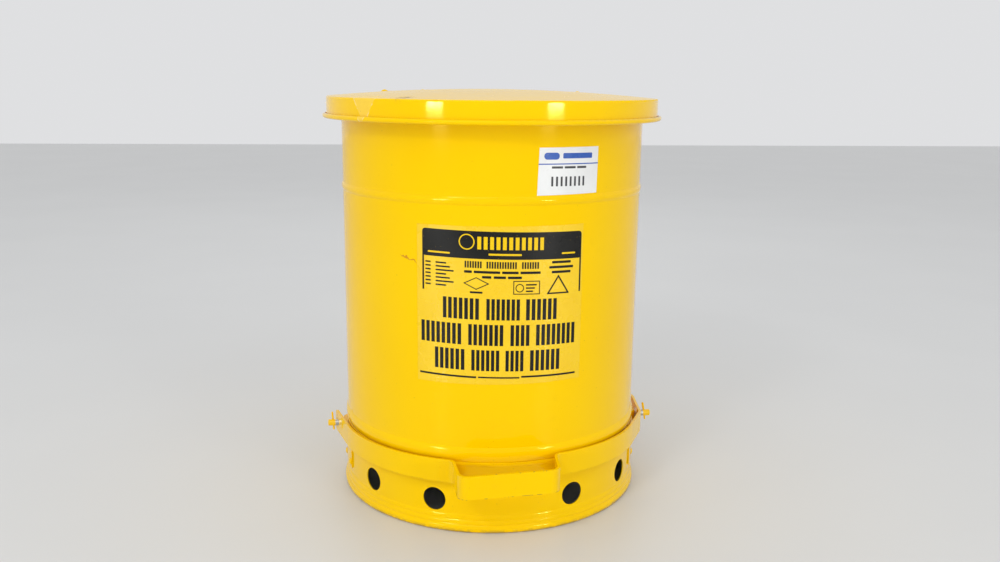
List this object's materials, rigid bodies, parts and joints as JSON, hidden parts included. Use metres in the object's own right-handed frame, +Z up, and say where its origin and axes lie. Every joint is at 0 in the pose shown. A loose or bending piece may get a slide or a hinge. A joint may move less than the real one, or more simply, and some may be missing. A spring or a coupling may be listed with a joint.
{
  "type": "oily waste can",
  "caption": "Round painted steel waste can on a ventilated base, with a domed lid that a foot pedal opens through a rear lift rod.",
  "frame": {"origin": "centre of the base ring on the floor, on the can's axis", "axes": "+Z up along the can's axis, the pedal faces -Y, the lid's hinge is on the +Y side"},
  "size_m": [0.405, 0.464, 0.4705],
  "materials": {
    "yellow_paint": "gloss",
    "bare_steel": "satin",
    "label_print": "satin",
    "white_sticker": "satin"
  },
  "bodies": {
    "can": {"body_shell": "yellow_paint", "raised_bottom": "yellow_paint", "base_skirt": "yellow_paint", "pivot_bracket_left": "yellow_paint", "pivot_bracket_right": "yellow_paint", "pivot_rivets_left": "yellow_paint", "pivot_rivets_right": "yellow_paint", "pivot_pin_left": "bare_steel", "pivot_pin_right": "bare_steel", "pivot_cotter_left": "yellow_paint", "pivot_cotter_right": "yellow_paint", "rod_guide_lower": "yellow_paint", "rod_guide_upper": "yellow_paint", "guide_rivets": "yellow_paint", "hinge_bracket": "yellow_paint", "hinge_bracket_rivets": "yellow_paint", "hinge_pin": "bare_steel", "hinge_cotter": "bare_steel", "front_label": "label_print", "inventory_sticker": "white_sticker"},
    "pedal": {"pedal_lever": "yellow_paint"},
    "rod": {"lift_rod": "bare_steel", "rod_washers": "bare_steel", "rod_cotters": "bare_steel"},
    "lid": {"lid_shell": "yellow_paint", "lid_hinge_plate": "yellow_paint", "lid_rivets": "yellow_paint", "lid_lift_lug": "yellow_paint"}
  },
  "joints": [
    {"name": "lid_hinge", "type": "hinge", "parent": "can", "child": "lid", "pos_m": [0, 0.2325, 0.452], "axis": [-1, 0, 0], "range_deg": [0, 60]},
    {"name": "pedal_pivot", "type": "hinge", "parent": "can", "child": "pedal", "pos_m": [0, 0, 0.0668], "axis": [1, 0, 0], "range_deg": [0, 10.25]},
    {"name": "rod_slide", "type": "slide", "parent": "can", "child": "rod", "axis": [0, 0, 1], "range_m": [0, 0.0341]}
  ],
  "couplings": [
    {"joint": "pedal_pivot", "follows": "lid_hinge", "ratio": 0.17045},
    {"joint": "rod_slide", "follows": "lid_hinge", "m_per_rad": 0.032525}
  ]
}
